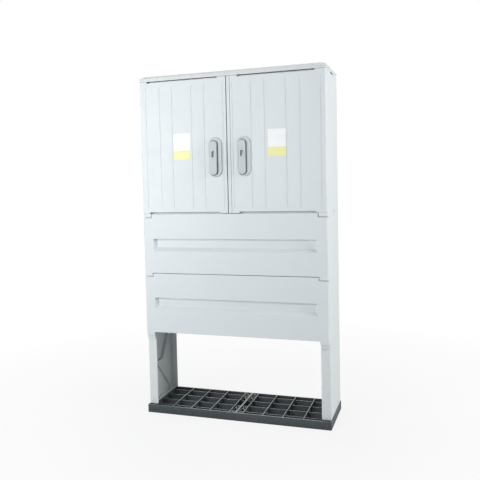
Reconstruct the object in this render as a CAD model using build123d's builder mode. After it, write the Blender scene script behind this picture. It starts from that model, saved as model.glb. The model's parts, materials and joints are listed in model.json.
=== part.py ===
from build123d import *
import math
import os

os.makedirs("parts", exist_ok=True)

# A two-door roadside cabinet of moulded plastic. From the ground up it is a ribbed base in two
# halves, a foundation whose open foot goes into the ground, a cable pocket, and the housing with
# its doors and roof. X is to the right, Y to the back, Z up, and the origin is on the ground
# below the middle of the cabinet. All sizes are in millimetres.

# Heights of the modules, and the plan
width = 800.0
depth = 250.0
foundation_height = 600.0
pocket_height = 250.0
housing_height = 600.0

# Moulding
skin = 4.0
front_depth = 15.0
panel_gap = 1.0
seat_gap = 0.3
edge_r = 7.0
flange = 38.0
back_flange = 30.0
end_flange = 5.0
back_corner_r = 3.0
front_corner_r = 3.0

# Base
base_height = 34.0
base_overhang = 3.0
base_rim = 5.0
joint_rim = 4.0
rib = 3.5
rib_pitch = 86.0
first_rib = 30.0
row_pitch = 63.0
row_drop = 4.0
brace = 2.5
brace_drop = 2.0
boss_r = 11.0

# Foundation walls
foot_flange = 22.0
foot_bolt_in = 12.0
foot_bolt_y = 62.0
wall_rib = 3.0
wall_rib_depth = 10.0
brace_front = -60.0
brace_back = 82.0
brace_high = 170.0
brace_low = 15.0
brace_boss_r = 6.0
riser_start = 0.0
riser_high = 355.0
gusset_high = 57.0
gusset_foot = -38.0
shelf_height = 14.0
shelf_depth = 8.0
shelf_drop = 2.0

# Front covers
cover_low = 342.0
cover_seam = 2.5
cover_gap = 0.8
lug_height = 14.0
lug_width = 38.0
grip_in = 45.0
cover_under_door = 3.0
grip_below_top = 105.0
grip_floor_height = 38.0
grip_slope_height = 15.0
grip_depth = 16.0
grip_end_slope = 10.0
stud_r = 4.0
stud_length = 9.0
stud_clearance = 0.3
stud_in = 16.0
stud_rise = 50.0

# Doors
seam_x = -11.0
seam_gap = 3.0
door_rise = 19.0
door_lift = 0.5
door_roof_gap = 1.0
vent_height = 6.0
vent_half = 158.5
groove_width = 5.0
groove_depth = 1.0
groove_pair = 56.0
groove_low = 19.0
groove_high = 26.0
left_borders = (30.0, 12.0)
right_borders = (22.0, 27.0)
left_groove_in = 93.75
right_groove_in = 104.75
strip_width = 13.5
strip_depth = 0.8
strip_line_width = 2.5
strip_line_depth = 2.8
door_rib = 3.0
door_rib_depth = 8.0
door_rib_levels = (115.0, 380.0)
rib_sink = 1.0

# Hinge pins
pin_r = 3.0
pin_run = 0.05
pin_in_door = 14.0
pin_in_frame = 11.0
pin_bottom_gap = 1.0

# Roof
roof_overhang = 2.0
roof_fascia = 13.0
roof_crown = 10.0
roof_slope_in = 16.0
roof_corner_r = 10.0
roof_lip = 1.5
roof_lip_height = 5.0
side_slot = 66.0
side_slot_height = 6.0

# Inner frame
lip_height = 24.0
lip_sheet = 3.0
lip_leg = 20.0
floor_lip = 35.0
post_width = 36.0
post_depth = 30.0
rail_web = 37.0
rail_below = 15.0
tab_height = 24.0
tab_length = 56.0
floor_slot_length = 140.0
floor_slot_depth = 110.0
floor_slot_end = 40.7
floor_slot_web = 25.0
floor_slot_r = 12.0

# Cable clamp rail
clamp_rail_level = 90.0
clamp_rail_height = 30.0
clamp_rail_depth = 18.0
clamp_rail_slot = 16.0
clamp_rail_sheet = 2.0
end_plate = 44.0
end_plate_sheet = 3.0

# Mounting plates
plate_width = 300.0
plate_height = 420.0
plate_side_gap = 43.0
plate_lift = 65.0
plate_sheet = 3.0
plate_standoff = 30.0
standoff_r = 8.0
plate_edge = 16.0
plate_bolt_r = 3.0
plate_bolt_head_r = 5.0
plate_bolt_head = 4.0
device_hole_r = 3.0
device_span_x = 200.0
device_span_z = 300.0

# Bolts of the structure
bolt_r = 4.0
bolt_flats = 13.0
bolt_head = 5.3
nut_height = 6.5
bolt_clearance = 0.3
bolt_past_nut = 2.0
wrench_gap = 1.0
module_bolt_in = 18.0
module_bolt_y = 70.0

# Handles: oval plate, lever, lock cylinder
handle_x = 61.5
handle_z = 1099.0
handle_width = 57.0
handle_height = 162.0
handle_proud = 6.0
handle_round = 2.5
handle_boss_width = 32.0
handle_boss_height = 140.0
handle_boss_depth = 8.0
lever_shift = -5.0
spindle_up = 53.0
spindle_r = 6.0
spindle_run = 0.05
hub_r = 12.0
hub_height = 2.8
hub_gap = 0.2
lever_width = 28.0
lever_thickness = 10.0
lever_length = 139.0
lever_gap = 0.6
channel = 3.8
channel_under = 0.5
channel_depth = 4.5
lever_pin_r = 1.5
lever_pin_half = 9.0
tab_half = 4.0
tab_r = 3.4
tab_foot = 1.8
tab_gap = 0.5
tab_swing = 2.5
cylinder_r = 8.5
cylinder_tail = 10.0
cylinder_height = 33.0
cylinder_length = 40.0
cylinder_up = 12.0
cylinder_gap = 0.2
window_width = 13.0
window_height = 26.0
dish_length = 44.0
dish_width = 24.0
dish_depth = 0.8
plug_r = 6.5
plug_proud = 0.2
key_width = 2.0
key_height = 8.0
key_depth = 6.0
cam_reach = 14.0
cam_width = 8.0
cam_sheet = 3.0
cam_gap = 0.5

# Rod drive behind each handle: a pinion between two racks
module_size = 1.75
teeth = 16
pressure = 20.0
addendum_share = 0.8
dedendum_share = 1.05
backlash = 0.3
drive_width = 10.0
square = 8.0
case_half_width = 24.0
case_half_height = 28.0
case_start = 14.0
case_gap = 0.3
case_cover = 2.0
rod_bar = 4.0
rod_gap = 0.3
root_sink = 0.9
rod_tip_gap = 1.5
rack_land = 1.0
guide_height = 12.0
guide_wall = 5.0
guide_inset = 60.0

# Places worked out from those sizes
half = width / 2
front = -depth / 2
back = depth / 2
frame_front = front + front_depth
frame_back = back - 2 * skin
pocket_z = foundation_height
housing_z = pocket_z + pocket_height
roof_z = housing_z + housing_height - roof_fascia - roof_crown
lug_x = half - lug_width
hinge_x = half - edge_r
hinge_y = front + edge_r
rim_back = front + front_depth - panel_gap
grip_half = half - grip_in
door_low = housing_z + door_rise
door_high = roof_z - door_roof_gap
lug_low = housing_z + cover_seam
lug_high = door_low - door_lift
spindle_z = handle_z + spindle_up
plate_face = front - handle_proud
lever_back = plate_face - lever_gap
lever_front = lever_back - lever_thickness
lever_pin_y = (lever_back + lever_front) / 2
lever_top = spindle_z + lever_width / 2
lever_low = lever_top - lever_length
lever_pin_z = lever_top - lever_thickness / 2
cylinder_z = handle_z + cylinder_up
cylinder_back = plate_face + cylinder_length
pitch_r = module_size * teeth / 2
tooth_pitch = math.pi * module_size
stroke = pitch_r * math.pi / 2
drive_front = front + skin + case_start + rod_gap + lip_sheet
drive_back = drive_front + drive_width
rack_root = pitch_r + dedendum_share * module_size
rack_back = rack_root + rod_bar
lip_low = roof_z - lip_height
floor_z = housing_z + end_flange
floor_lip_top = floor_z + floor_lip
base_end = half + base_overhang
base_side = depth / 2 + base_overhang
foot_bolt_x = half - foot_bolt_in
module_bolt_x = half - module_bolt_in


def at_depth(y):
    """The upright plane at depth y, seen from the front: its axes are X and Z."""
    return Plane.XZ.offset(-y)


def area(x_low, x_high, y_low, y_high, mode=Mode.ADD):
    """A rectangle between two corners of the open sketch."""
    with Locations(((x_low + x_high) / 2, (y_low + y_high) / 2)):
        Rectangle(x_high - x_low, y_high - y_low, mode=mode)


def strip(start, end, thickness, mode=Mode.ADD):
    """A straight rib between two points of the open sketch."""
    across = math.atan2(end[1] - start[1], end[0] - start[0]) + math.pi / 2
    dx = math.cos(across) * thickness / 2
    dy = math.sin(across) * thickness / 2
    Polygon(
        (start[0] + dx, start[1] + dy),
        (start[0] - dx, start[1] - dy),
        (end[0] - dx, end[1] - dy),
        (end[0] + dx, end[1] + dy),
        mode=mode,
    )


def keep(part, name):
    """Labels a finished piece and writes it."""
    part.label = name
    export_step(part, f"parts/{name}.step")


def keep_pair(part, name):
    """Writes a right-hand piece and its mirror image for the left."""
    keep(part, f"right_{name}")
    with BuildPart() as left:
        mirror(part, about=Plane.YZ)
    keep(left.part, f"left_{name}")


# Base: two ribbed halves that meet on the middle line
rows = [row_pitch * (n - 1.5) for n in range(4)]
rib_count = int((base_end - base_rim - rib - first_rib) / rib_pitch) + 1
cross_ribs = [first_rib + rib_pitch * n for n in range(rib_count)]
row_edges = [-base_side + base_rim] + rows + [base_side - base_rim]
braced_rows = [edges for n, edges in enumerate(zip(row_edges, row_edges[1:])) if n != 2]

with BuildPart() as base_half:
    with BuildSketch(Plane.XY):
        area(0, base_end, -base_side, base_side)
        area(joint_rim, base_end - base_rim, -base_side + base_rim, base_side - base_rim, Mode.SUBTRACT)
        for x in cross_ribs:
            area(x - rib / 2, x + rib / 2, -base_side + rib, base_side - rib)
        with Locations((foot_bolt_x, -foot_bolt_y), (foot_bolt_x, foot_bolt_y)):
            Circle(boss_r)
    extrude(amount=base_height)
    with BuildSketch(Plane.XY):
        for y in rows:
            area(joint_rim / 2, base_end - base_rim / 2, y - rib / 2, y + rib / 2)
    extrude(amount=base_height - row_drop)
    with BuildSketch(Plane.XY):
        for y_low, y_high in braced_rows:
            strip((joint_rim / 2, y_low), (first_rib, y_high), brace)
            strip((joint_rim / 2, y_high), (first_rib, y_low), brace)
    extrude(amount=base_height - brace_drop)
    with BuildSketch(Plane.XY.offset(base_height)):
        with Locations((foot_bolt_x, -foot_bolt_y), (foot_bolt_x, foot_bolt_y)):
            Circle(bolt_r)
    extrude(amount=-base_height, mode=Mode.SUBTRACT)
    clamp_y = (rows[2] + rows[3]) / 2
    with BuildSketch(Plane.YZ):
        with Locations((-clamp_y, base_height / 2), (clamp_y, base_height / 2)):
            Circle(bolt_r + bolt_clearance)
    extrude(amount=joint_rim, mode=Mode.SUBTRACT)
    fillet(base_half.edges().filter_by(Axis.Z).group_by(Axis.X)[-1], front_corner_r)
keep_pair(base_half.part, "base_grid")


def hex_head(plane, places, height, hole=0.0):
    """Hexagons on a plane, for bolt heads, or for nuts where a hole is given."""
    with BuildSketch(plane) as hexagons:
        with Locations(*places):
            RegularPolygon(radius=bolt_flats / math.sqrt(3), side_count=6)
            if hole:
                Circle(hole, mode=Mode.SUBTRACT)
    extrude(hexagons.sketch, amount=height)


def shanks(plane, places, radius, length):
    """Round bolt shanks that run back from a plane."""
    with BuildSketch(plane) as rounds:
        with Locations(*places):
            Circle(radius)
    extrude(rounds.sketch, amount=-length)


clamp_places = [(-clamp_y, base_height / 2), (clamp_y, base_height / 2)]
clamp_grip = 2 * joint_rim + nut_height
with BuildPart() as clamp_bolts:
    hex_head(Plane.YZ.offset(joint_rim), clamp_places, bolt_head)
    shanks(Plane.YZ.offset(joint_rim), clamp_places, bolt_r, clamp_grip + bolt_past_nut)
keep(clamp_bolts.part, "base_clamp_bolts")

with BuildPart() as clamp_nuts:
    hex_head(Plane.YZ.offset(-joint_rim), clamp_places, -nut_height, bolt_r)
keep(clamp_nuts.part, "base_clamp_nuts")

foot_places = [(x, y) for x in (-foot_bolt_x, foot_bolt_x) for y in (-foot_bolt_y, foot_bolt_y)]
foot_top = base_height + end_flange
with BuildPart() as foot_bolts:
    hex_head(Plane.XY.offset(foot_top), foot_places, bolt_head)
    shanks(Plane.XY.offset(foot_top), foot_places, bolt_r, foot_top - bolt_past_nut)
keep(foot_bolts.part, "foundation_bolts")


# Side walls: each is a shallow tray, open to the inside
def wall_tray(low, high, foot):
    """The skin and the four flanges of a right side wall."""
    with BuildSketch(Plane.XY.offset(low)) as plan:
        area(half - skin, half, frame_front, back)
        area(half - flange, half, frame_front, frame_front + skin)
        area(half - back_flange, half, frame_back, frame_back + skin)
    extrude(plan.sketch, amount=high - low)
    with BuildSketch(Plane.XY.offset(low)) as bottom:
        area(half - foot, half, frame_front, frame_back + skin)
    extrude(bottom.sketch, amount=end_flange)
    with BuildSketch(Plane.XY.offset(high)) as top:
        area(half - flange, half, frame_front, frame_back + skin)
    extrude(top.sketch, amount=-end_flange)


def round_wall(wall):
    """Rounds the two long outer edges of a right side wall."""
    outer = wall.edges().filter_by(Axis.Z).group_by(Axis.X)[-1]
    fillet(outer.group_by(Axis.Y)[-1], back_corner_r)
    outer = wall.edges().filter_by(Axis.Z).group_by(Axis.X)[-1]
    fillet(outer.group_by(Axis.Y)[0], front_corner_r)


def module_holes(level, direction):
    """Bolt holes through the flange that lies at a joint between modules."""
    with BuildSketch(Plane.XY.offset(level)) as holes:
        with Locations((module_bolt_x, -module_bolt_y), (module_bolt_x, module_bolt_y)):
            Circle(bolt_r + bolt_clearance)
    extrude(holes.sketch, amount=direction * end_flange, mode=Mode.SUBTRACT)


def stud_holes(levels):
    """Holes in the front flange for the studs of a cover."""
    with BuildSketch(at_depth(frame_front)) as holes:
        with Locations(*[(half - stud_in, level) for level in levels]):
            Circle(stud_r + stud_clearance)
    extrude(holes.sketch, amount=-skin, mode=Mode.SUBTRACT)


lower_cover_top = pocket_z - cover_seam
upper_cover_low = pocket_z
upper_cover_top = housing_z
lower_studs = (cover_low + stud_rise, lower_cover_top - stud_rise)
upper_studs = (upper_cover_low + stud_rise, upper_cover_top - stud_rise)

# The foundation wall is braced on its inner side, and a shelf on its front flange carries the
# lower cover's corner.
rib_face = half - skin - wall_rib_depth
brace_top = (brace_front, base_height + brace_high)
brace_foot = (brace_back, base_height + brace_low)
with BuildPart() as foundation_wall:
    wall_tray(base_height, pocket_z, foot_flange)
    round_wall(foundation_wall)
    with BuildSketch(Plane.YZ.offset(rib_face)):
        strip(brace_top, brace_foot, wall_rib)
        strip((riser_start, brace_top[1]), (frame_front + skin / 2, brace_top[1]), wall_rib)
        strip((riser_start, brace_top[1]), (frame_back + skin / 2, base_height + riser_high), wall_rib)
        strip((frame_front + skin / 2, base_height + gusset_high),
              (gusset_foot, base_height + end_flange / 2), wall_rib)
        with Locations(brace_top, brace_foot):
            Circle(brace_boss_r)
    extrude(amount=wall_rib_depth + skin / 2)
    with BuildSketch(at_depth(frame_front)):
        area(half - flange + shelf_drop, half - shelf_drop, cover_low - shelf_drop - shelf_height,
             cover_low - shelf_drop)
    extrude(amount=shelf_depth)
    module_holes(pocket_z, -1)
    stud_holes(lower_studs)
    with BuildSketch(Plane.XY.offset(base_height)):
        with Locations((foot_bolt_x, -foot_bolt_y), (foot_bolt_x, foot_bolt_y)):
            Circle(bolt_r + bolt_clearance)
    extrude(amount=end_flange, mode=Mode.SUBTRACT)
keep_pair(foundation_wall.part, "foundation_wall")

with BuildPart() as pocket_wall:
    wall_tray(pocket_z, housing_z, flange)
    round_wall(pocket_wall)
    module_holes(pocket_z, 1)
    module_holes(housing_z, -1)
    stud_holes(upper_studs)
keep_pair(pocket_wall.part, "pocket_wall")

# The housing wall has the lug that carries the lower hinge pin, and a slot under the roof
with BuildPart() as housing_wall:
    wall_tray(housing_z, roof_z, flange)
    round_wall(housing_wall)
    module_holes(housing_z, 1)
    with BuildSketch(at_depth(frame_front)):
        area(lug_x, half, lug_low, lug_high)
    extrude(amount=front_depth)
    lug_edge = housing_wall.edges().filter_by(Axis.Z).group_by(Axis.X)[-1].group_by(Axis.Y)[0]
    fillet(lug_edge, edge_r)
    with BuildSketch(Plane.XY.offset(lug_high)):
        with Locations((hinge_x, hinge_y)):
            Circle(pin_r)
    extrude(amount=-pin_in_frame, mode=Mode.SUBTRACT)
    with BuildSketch(Plane.YZ.offset(half)):
        area(-side_slot / 2, side_slot / 2, roof_z - side_slot_height, roof_z)
    extrude(amount=-2 * skin, mode=Mode.SUBTRACT)
keep_pair(housing_wall.part, "housing_wall")

bolt_levels = (pocket_z, housing_z)
module_places = [(side * module_bolt_x, y) for side in (-1, 1) for y in (-module_bolt_y, module_bolt_y)]
with BuildPart() as module_bolts:
    for level in bolt_levels:
        hex_head(Plane.XY.offset(level + end_flange), module_places, bolt_head)
        shanks(Plane.XY.offset(level + end_flange), module_places, bolt_r,
               2 * end_flange + nut_height + bolt_past_nut)
keep(module_bolts.part, "module_bolts")

with BuildPart() as module_nuts:
    for level in bolt_levels:
        hex_head(Plane.XY.offset(level - end_flange), module_places, -nut_height, bolt_r)
keep(module_nuts.part, "module_nuts")


# Back panels: they lie on the back flanges, between the side skins
def back_panel(name, low, high, bosses=()):
    """A ribbed back panel, with bosses on its inner side where a plate is carried."""
    inner_half = half - skin - seat_gap
    with BuildPart() as panel:
        with BuildSketch(at_depth(back)):
            area(-inner_half, inner_half, low, high)
        extrude(amount=skin)
        with BuildSketch(at_depth(back)):
            for n in range(-3, 4):
                x = n * width / 8
                area(x - groove_width / 2, x + groove_width / 2, low + groove_low, high - groove_low)
        extrude(amount=groove_depth, mode=Mode.SUBTRACT)
        if bosses:
            with BuildSketch(at_depth(back - skin)):
                with Locations(*bosses):
                    Circle(standoff_r)
            extrude(amount=plate_standoff)
            with BuildSketch(at_depth(back - skin - plate_standoff)):
                with Locations(*bosses):
                    Circle(plate_bolt_r)
            extrude(amount=-plate_standoff / 2, mode=Mode.SUBTRACT)
    keep(panel.part, name)


plate_x = half - plate_side_gap - plate_width / 2
plate_low = housing_z + plate_lift
plate_high = plate_low + plate_height
plate_corners = [
    (side * plate_x + dx, z)
    for side in (-1, 1)
    for dx in (-plate_width / 2 + plate_edge, plate_width / 2 - plate_edge)
    for z in (plate_low + plate_edge, plate_high - plate_edge)
]
back_panel("foundation_back_panel", cover_low, pocket_z - seat_gap)
back_panel("pocket_back_panel", pocket_z + seat_gap, housing_z - seat_gap)
back_panel("housing_back_panel", housing_z + seat_gap, roof_z - seat_gap, plate_corners)

# Mounting plates, one in each half of the housing
plate_y = back - skin - plate_standoff
with BuildPart() as mounting_plate:
    with BuildSketch(at_depth(plate_y)):
        area(plate_x - plate_width / 2, plate_x + plate_width / 2, plate_low, plate_high)
        with Locations(*[corner for corner in plate_corners if corner[0] > 0]):
            Circle(plate_bolt_r + bolt_clearance, mode=Mode.SUBTRACT)
        with Locations((plate_x, (plate_low + plate_high) / 2)):
            with GridLocations(device_span_x, device_span_z, 2, 2):
                Circle(device_hole_r, mode=Mode.SUBTRACT)
    extrude(amount=plate_sheet)
keep_pair(mounting_plate.part, "mounting_plate")

with BuildPart() as plate_bolts:
    with BuildSketch(at_depth(plate_y - plate_sheet)):
        with Locations(*plate_corners):
            Circle(plate_bolt_head_r)
    extrude(amount=plate_bolt_head)
    shanks(at_depth(plate_y - plate_sheet), plate_corners, plate_bolt_r, plate_sheet + plate_standoff / 2)
keep(plate_bolts.part, "mounting_plate_bolts")

# Floor of the housing, with a front lip behind the doors and cut-outs for the cables
floor_half = half - skin - seat_gap
lip_half = half - flange - seat_gap
outer_slot_x = floor_half - floor_slot_end - floor_slot_length / 2
inner_slot_x = outer_slot_x - floor_slot_length - floor_slot_web
with BuildPart() as housing_floor:
    with BuildSketch(Plane.XY.offset(floor_z)):
        area(-floor_half, floor_half, frame_front + skin + seat_gap, frame_back - seat_gap)
        area(-lip_half, lip_half, frame_front, frame_front + 2 * skin)
        with Locations(*[(side * x, 0) for side in (-1, 1) for x in (inner_slot_x, outer_slot_x)]):
            RectangleRounded(floor_slot_length, floor_slot_depth, floor_slot_r, mode=Mode.SUBTRACT)
    extrude(amount=skin)
    with BuildSketch(Plane.XY.offset(floor_z)):
        area(-lip_half, lip_half, frame_front, frame_front + skin)
    extrude(amount=floor_lip)
    with BuildSketch(Plane.XY.offset(floor_z)):
        with Locations(*module_places):
            Circle(bolt_flats / math.sqrt(3) + wrench_gap)
    extrude(amount=skin, mode=Mode.SUBTRACT)
keep(housing_floor.part, "housing_floor")

# Top rail: an angle whose front lip stands behind the tops of the doors
with BuildPart() as top_rail:
    with BuildSketch(Plane.YZ.offset(-lip_half)):
        area(frame_front, frame_front + lip_sheet, lip_low, roof_z)
        area(frame_front, frame_front + lip_leg, roof_z - lip_sheet, roof_z)
    extrude(amount=2 * lip_half)
keep(top_rail.part, "top_rail")

# Centre post: a channel that closes the gap between the doors from behind
with BuildPart() as centre_post:
    with BuildSketch(Plane.XY.offset(floor_lip_top)):
        area(seam_x - post_width / 2, seam_x + post_width / 2, frame_front, frame_front + post_depth)
        area(seam_x - post_width / 2 + lip_sheet, seam_x + post_width / 2 - lip_sheet,
             frame_front + lip_sheet, frame_front + post_depth, Mode.SUBTRACT)
    extrude(amount=lip_low - floor_lip_top)
keep(centre_post.part, "centre_post")

# Front rail: it ties the side walls behind the seam between the two covers
web_low = pocket_z - rail_below
with BuildPart() as front_rail:
    with BuildSketch(at_depth(frame_front)):
        area(-lip_half, lip_half, web_low, web_low + rail_web)
    extrude(amount=-lip_sheet)
    with BuildSketch(at_depth(frame_front + lip_sheet)):
        for side in (-1, 1):
            inner = side * (floor_half - tab_length)
            edge = side * lip_half
            area(min(inner, edge), max(inner, edge), web_low - tab_height, web_low + rail_below / 2)
    extrude(amount=-(skin + seat_gap))
    with BuildSketch(at_depth(frame_front + skin + seat_gap)):
        for side in (-1, 1):
            inner = side * (floor_half - tab_length)
            edge = side * floor_half
            area(min(inner, edge), max(inner, edge), web_low - tab_height, web_low + rail_below / 2)
    extrude(amount=-lip_sheet)
keep(front_rail.part, "front_rail")

# Cable clamp rail across the pocket, open to the front for the clamps' nuts
rail_z = pocket_z + clamp_rail_level
with BuildPart() as clamp_rail:
    rail_low = rail_z - clamp_rail_height / 2
    rail_high = rail_z + clamp_rail_height / 2
    with BuildSketch(Plane.YZ.offset(-floor_half)):
        area(0, clamp_rail_depth, rail_low, rail_high)
        area(clamp_rail_sheet, clamp_rail_depth - clamp_rail_sheet,
             rail_low + clamp_rail_sheet, rail_high - clamp_rail_sheet, Mode.SUBTRACT)
        area(0, clamp_rail_sheet, rail_z - clamp_rail_slot / 2, rail_z + clamp_rail_slot / 2, Mode.SUBTRACT)
    extrude(amount=2 * floor_half)
    for side in (-1, 1):
        with BuildSketch(Plane.YZ.offset(side * floor_half)):
            area(clamp_rail_depth / 2 - end_plate / 2, clamp_rail_depth / 2 + end_plate / 2,
                 rail_z - end_plate / 2, rail_z + end_plate / 2)
        extrude(amount=-side * end_plate_sheet)
keep(clamp_rail.part, "cable_clamp_rail")


# Front covers: a stepped outline that interlocks with the neighbour above and below, a deep
# rim, rolled side edges and a long grip recess with a sharp upper edge
def cover(name, low, high, top, studs):
    """One front cover: it goes from low to high at the sides, and up to top between them."""
    rim = front_depth - cover_gap
    outline = [
        (-half, low), (-lug_x, low), (-lug_x, low + lug_height), (lug_x, low + lug_height),
        (lug_x, low), (half, low), (half, high), (lug_x - cover_seam, high),
        (lug_x - cover_seam, top), (-lug_x + cover_seam, top), (-lug_x + cover_seam, high),
        (-half, high),
    ]

    grip_top = top - grip_below_top
    floor_low = grip_top - grip_floor_height
    grip_low = floor_low - grip_slope_height
    with BuildPart() as panel:
        with BuildSketch(at_depth(front)):
            Polygon(*outline)
        extrude(amount=-rim)
        with BuildSketch(at_depth(front + skin)):
            Polygon(*outline)
            offset(amount=-skin, kind=Kind.INTERSECTION, mode=Mode.REPLACE)
        extrude(amount=-rim, mode=Mode.SUBTRACT)
        with BuildSketch(at_depth(front + skin)):
            with Locations(*[(side * (half - stud_in), z) for side in (-1, 1) for z in studs]):
                Circle(stud_r + skin)
        extrude(amount=-(rim - skin))
        with BuildSketch(at_depth(front + rim)):
            with Locations(*[(side * (half - stud_in), z) for side in (-1, 1) for z in studs]):
                Circle(stud_r)
        extrude(amount=-stud_length)
        with BuildSketch(Plane.YZ.offset(-grip_half - skin)):
            Polygon(
                (front + skin / 2, grip_low - 1.5 * skin),
                (front + grip_depth + skin, floor_low - skin / 2),
                (front + grip_depth + skin, grip_top + skin),
                (front + skin / 2, grip_top + skin),
            )
        extrude(amount=2 * grip_half + 2 * skin)
        with BuildSketch(at_depth(front)):
            area(-grip_half, grip_half, grip_low, grip_top)
        with BuildSketch(at_depth(front + grip_depth)):
            area(-grip_half + grip_end_slope, grip_half - grip_end_slope, floor_low, grip_top)
        loft(mode=Mode.SUBTRACT)
        sides = panel.edges().filter_by(Axis.Z).group_by(Axis.Y)[0]
        fillet(sides.group_by(Axis.X)[0] + sides.group_by(Axis.X)[-1], edge_r)
    keep(panel.part, name)


cover("upper_cover", upper_cover_low, upper_cover_top, door_low - cover_under_door, upper_studs)
cover("lower_cover", cover_low, lower_cover_top, lower_cover_top + lug_height, lower_studs)


# Doors: a ribbed tray whose hinge edge is a full round about the pins
def door(name, side, free_x, borders, groove_in):
    """A door hinged on one side; free_x is where its free edge stands."""
    hinge = side * hinge_x
    low_x = min(hinge, free_x)
    high_x = max(hinge, free_x)
    middle = (side * half + free_x) / 2
    end_rim = vent_height + skin
    inner_free = free_x + side * skin
    inner_hinge = hinge - side * edge_r
    near_free = free_x + side * groove_in
    near_hinge = side * (half - groove_in)
    grooves = [near_free, near_free + side * groove_pair, near_hinge - side * groove_pair, near_hinge]
    with BuildPart() as leaf:
        with BuildSketch(Plane.XY.offset(door_low)):
            area(low_x, high_x, front, rim_back)
            with Locations((hinge, hinge_y)):
                Circle(edge_r)
        extrude(amount=door_high - door_low)
        with BuildSketch(at_depth(front + skin)):
            area(min(inner_free, inner_hinge), max(inner_free, inner_hinge),
                 door_low + end_rim, door_high - end_rim)
        extrude(amount=-front_depth, mode=Mode.SUBTRACT)
        with BuildSketch(at_depth(front + skin)):
            for x in grooves:
                area(x - door_rib / 2, x + door_rib / 2, door_low + skin, door_high - skin)
            for level in door_rib_levels:
                rib_end = inner_hinge + side * rib_sink
                area(min(near_free, rib_end), max(near_free, rib_end),
                     door_low + level - door_rib / 2, door_low + level + door_rib / 2)
        extrude(amount=-door_rib_depth)
        fillet(leaf.edges().filter_by(Axis.Z).group_by(Axis.Y)[0].sort_by(Axis.X)[0 if side > 0 else -1],
               front_corner_r)
        with BuildSketch(at_depth(front)):
            for z_low, z_high in ((door_low, door_low + vent_height), (door_high - vent_height, door_high)):
                area(middle - vent_half, middle + vent_half, z_low, z_high)
        extrude(amount=-front_depth, mode=Mode.SUBTRACT)
        grooves.append(side * (half - borders[0]))
        grooves.append(free_x + side * borders[1])
        with BuildSketch(at_depth(front)):
            for x in grooves:
                area(x - groove_width / 2, x + groove_width / 2,
                     door_low + groove_low, door_high - groove_high)
        extrude(amount=-groove_depth, mode=Mode.SUBTRACT)
        if side > 0:
            with BuildSketch(at_depth(front)):
                area(free_x, free_x + strip_width, door_low, door_high)
            extrude(amount=-strip_depth, mode=Mode.SUBTRACT)
            with BuildSketch(at_depth(front)):
                area(free_x + strip_width, free_x + strip_width + strip_line_width, door_low, door_high)
            extrude(amount=-strip_line_depth, mode=Mode.SUBTRACT)
        with BuildSketch(at_depth(front)):
            with Locations((side * handle_x, handle_z)):
                SlotOverall(handle_boss_height + 2 * seat_gap, handle_boss_width + 2 * seat_gap, rotation=90)
        extrude(amount=-skin, mode=Mode.SUBTRACT)
        for level, direction in ((door_low, 1), (door_high, -1)):
            with BuildSketch(Plane.XY.offset(level)):
                with Locations((hinge, hinge_y)):
                    Circle(pin_r + pin_run)
            extrude(amount=direction * (pin_in_door + pin_bottom_gap), mode=Mode.SUBTRACT)
    keep(leaf.part, name)


door("left_door", -1, seam_x - seam_gap / 2, left_borders, left_groove_in)
door("right_door", 1, seam_x + seam_gap / 2, right_borders, right_groove_in)

with BuildPart() as hinge_pins:
    with BuildSketch(Plane.XY.offset(lug_high - pin_in_frame)):
        with Locations((hinge_x, hinge_y)):
            Circle(pin_r)
    extrude(amount=pin_in_frame + door_lift + pin_in_door)
    with BuildSketch(Plane.XY.offset(door_high - pin_in_door)):
        with Locations((hinge_x, hinge_y)):
            Circle(pin_r)
    extrude(amount=pin_in_door + door_roof_gap + pin_in_frame)
keep_pair(hinge_pins.part, "hinge_pins")

# Roof: a shallow hipped cap with a fascia, hollow below, with a boss over each hinge pin
roof_half_x = half + roof_overhang
roof_half_y = depth / 2 + roof_overhang
with BuildPart() as roof:
    with BuildSketch(Plane.XY.offset(roof_z)):
        RectangleRounded(2 * (roof_half_x - roof_lip), 2 * (roof_half_y - roof_lip), roof_corner_r)
    extrude(amount=roof_fascia)
    with BuildSketch(Plane.XY.offset(roof_z + roof_fascia - roof_lip_height)):
        RectangleRounded(2 * roof_half_x, 2 * roof_half_y, roof_corner_r)
    extrude(amount=roof_lip_height)
    with BuildSketch(Plane.XY.offset(roof_z + roof_fascia)):
        RectangleRounded(2 * roof_half_x, 2 * roof_half_y, roof_corner_r)
    with BuildSketch(Plane.XY.offset(roof_z + roof_fascia + roof_crown)):
        RectangleRounded(2 * (roof_half_x - roof_slope_in), 2 * (roof_half_y - roof_slope_in), roof_corner_r)
    loft()
    inner_x = roof_half_x - skin - roof_overhang
    inner_y = roof_half_y - skin - roof_overhang
    with BuildSketch(Plane.XY.offset(roof_z)):
        RectangleRounded(2 * inner_x, 2 * inner_y, roof_corner_r)
    extrude(amount=roof_fascia, mode=Mode.SUBTRACT)
    with BuildSketch(Plane.XY.offset(roof_z)):
        for side in (-1, 1):
            outer_x = side * (half - roof_overhang)
            inner = side * (hinge_x - 2 * edge_r)
            area(min(outer_x, inner), max(outer_x, inner), front + skin / 2, frame_front + skin)
    extrude(amount=roof_fascia + skin / 2)
    with BuildSketch(Plane.XY.offset(roof_z)):
        with Locations((-hinge_x, hinge_y), (hinge_x, hinge_y)):
            Circle(pin_r)
    extrude(amount=pin_in_frame, mode=Mode.SUBTRACT)
keep(roof.part, "roof")


# Handles: both doors have the same plate, lever and lock, and behind them a drive that is
# mirrored from one door to the other
def spindle_x(side):
    """Where the spindle and the lock stand, to the left of the middle of their plate."""
    return side * handle_x + lever_shift


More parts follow.
